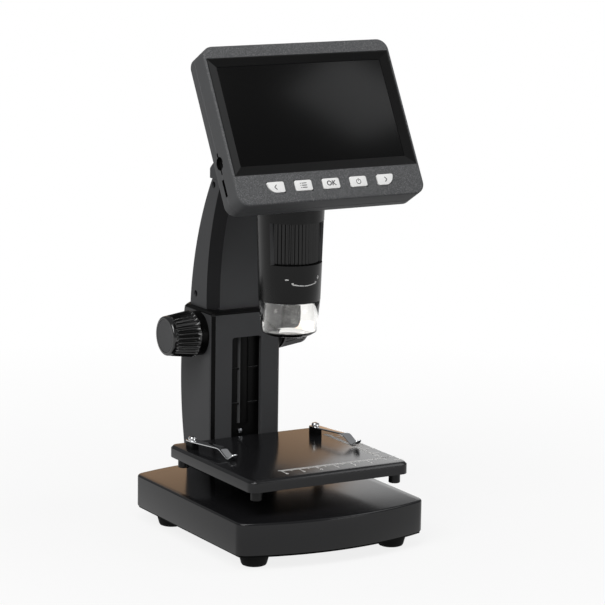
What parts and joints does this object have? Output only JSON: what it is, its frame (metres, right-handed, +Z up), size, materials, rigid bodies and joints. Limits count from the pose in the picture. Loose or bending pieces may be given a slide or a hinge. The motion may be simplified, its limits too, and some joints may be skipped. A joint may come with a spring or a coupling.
{
  "type": "digital microscope",
  "caption": "Desktop digital microscope with a tilted display head, rack height knobs, focus ring, stage with spring clips and a bowed base",
  "frame": {"origin": "On the table under the middle of the object's bounding box", "axes": "+Z up, -Y front, where the display faces; +X to the viewer's right"},
  "size_m": [0.109, 0.142, 0.2585],
  "materials": {
    "base_black": "semi-gloss black moulded plastic",
    "column_grey": "satin dark grey moulded plastic",
    "head_graphite": "graphite plastic with a fine sparkle",
    "barrel_black": "satin black plastic",
    "knob_black": "satin black plastic with ridges",
    "disc_grey": "flat grey disc",
    "foot_rubber": "black rubber",
    "clip_chrome": "polished spring steel",
    "screw_steel": "plated steel",
    "ballast_iron": "plain iron",
    "drive_brass": "machined brass",
    "drive_steel": "ground steel",
    "drive_nylon": "natural nylon",
    "bezel_gloss": "gloss black bevelled frame",
    "screen_glass": "black display glass",
    "lens_glass": "clear optical glass",
    "cap_clear": "clear moulded cap",
    "board_green": "printed circuit board",
    "part_grey": "stamped sheet",
    "cell_silver": "pouch cell",
    "button_white": "white moulded key",
    "led_white": "white diode"
  },
  "bodies": {
    "stand": {"base_cover": "base_black", "base_bottom_plate": "barrel_black", "base_screws": "screw_steel", "ballast_weight": "ballast_iron", "rubber_feet": "foot_rubber", "column_body": "column_grey", "column_front_plate": "column_grey", "column_top_cap": "barrel_black", "slide_guide": "barrel_black", "guide_screw": "screw_steel", "column_screws": "screw_steel", "shaft_bushes": "barrel_black", "stage_plate": "base_black", "stage_bottom_plate": "barrel_black", "stage_pegs": "barrel_black", "clip_posts": "barrel_black", "clip_screws": "clip_chrome"},
    "knobs": {"knob_shaft": "drive_steel", "pinion": "drive_brass", "left_knob": "knob_black", "right_knob": "knob_black", "knob_discs": "disc_grey"},
    "carriage": {"arm_left_shell": "column_grey", "arm_right_shell": "column_grey", "arm_screws": "screw_steel", "rack": "drive_nylon", "neck_bracket": "barrel_black", "neck_screws": "screw_steel", "barrel_screws": "screw_steel", "head_screws": "screw_steel", "head_front_shell": "head_graphite", "head_rear_shell": "head_graphite", "shell_screws": "screw_steel", "display_bezel": "bezel_gloss", "display_glass": "screen_glass", "lcd_panel": "part_grey", "main_board": "board_green", "battery": "cell_silver", "card_socket": "part_grey", "usb_socket": "part_grey", "tact_switches": "part_grey", "barrel_housing": "barrel_black", "lens_guide": "barrel_black", "camera_board": "board_green", "image_sensor": "screen_glass", "led_ring": "board_green", "leds": "led_white", "clear_cap": "cap_clear"},
    "focus_ring": {"focus_ring": "barrel_black"},
    "lens_carriage": {"lens_cell": "part_grey", "lens": "lens_glass"},
    "back_button": {"button_back": "button_white"},
    "menu_button": {"button_menu": "button_white"},
    "ok_button": {"button_ok": "button_white"},
    "power_button": {"button_power": "button_white"},
    "next_button": {"button_next": "button_white"},
    "left_clip_leaf": {"left_clip": "clip_chrome"},
    "right_clip_leaf": {"right_clip": "clip_chrome"}
  },
  "joints": [
    {"name": "height_slide", "type": "slide", "parent": "stand", "child": "carriage", "axis": [0, 0, 1], "range_m": [-0.008, 0.032]},
    {"name": "knob_turn", "type": "hinge", "parent": "stand", "child": "knobs", "pos_m": [0, 0.047, 0.0995], "axis": [1, 0, 0], "range_deg": [-95, 370]},
    {"name": "focus_turn", "type": "hinge", "parent": "carriage", "child": "focus_ring", "pos_m": [0, -0.0127, 0.157], "axis": [0, 0, 1], "range_deg": [-90, 90]},
    {"name": "lens_slide", "type": "slide", "parent": "carriage", "child": "lens_carriage", "axis": [0, 0, 1], "range_m": [-0.003, 0.003]},
    {"name": "left_clip_swing", "type": "hinge", "parent": "stand", "child": "left_clip_leaf", "pos_m": [-0.0398, 0.0174, 0.0492], "axis": [0, 0, 1], "range_deg": [-55, 40]},
    {"name": "right_clip_swing", "type": "hinge", "parent": "stand", "child": "right_clip_leaf", "pos_m": [0.0337, 0.0162, 0.0492], "axis": [0, 0, 1], "range_deg": [-55, 40]},
    {"name": "back_press", "type": "slide", "parent": "carriage", "child": "back_button", "axis": [0, 0.8704, -0.4924], "range_m": [0, 0.0005], "stiffness_N_per_m": 600},
    {"name": "menu_press", "type": "slide", "parent": "carriage", "child": "menu_button", "axis": [0, 0.8704, -0.4924], "range_m": [0, 0.0005], "stiffness_N_per_m": 600},
    {"name": "ok_press", "type": "slide", "parent": "carriage", "child": "ok_button", "axis": [0, 0.8704, -0.4924], "range_m": [0, 0.0005], "stiffness_N_per_m": 600},
    {"name": "power_press", "type": "slide", "parent": "carriage", "child": "power_button", "axis": [0, 0.8704, -0.4924], "range_m": [0, 0.0005], "stiffness_N_per_m": 600},
    {"name": "next_press", "type": "slide", "parent": "carriage", "child": "next_button", "axis": [0, 0.8704, -0.4924], "range_m": [0, 0.0005], "stiffness_N_per_m": 600}
  ],
  "couplings": [
    {"joint": "knob_turn", "follows": "height_slide", "rad_per_m": 200},
    {"joint": "focus_turn", "follows": "lens_slide", "rad_per_m": 523.6}
  ]
}
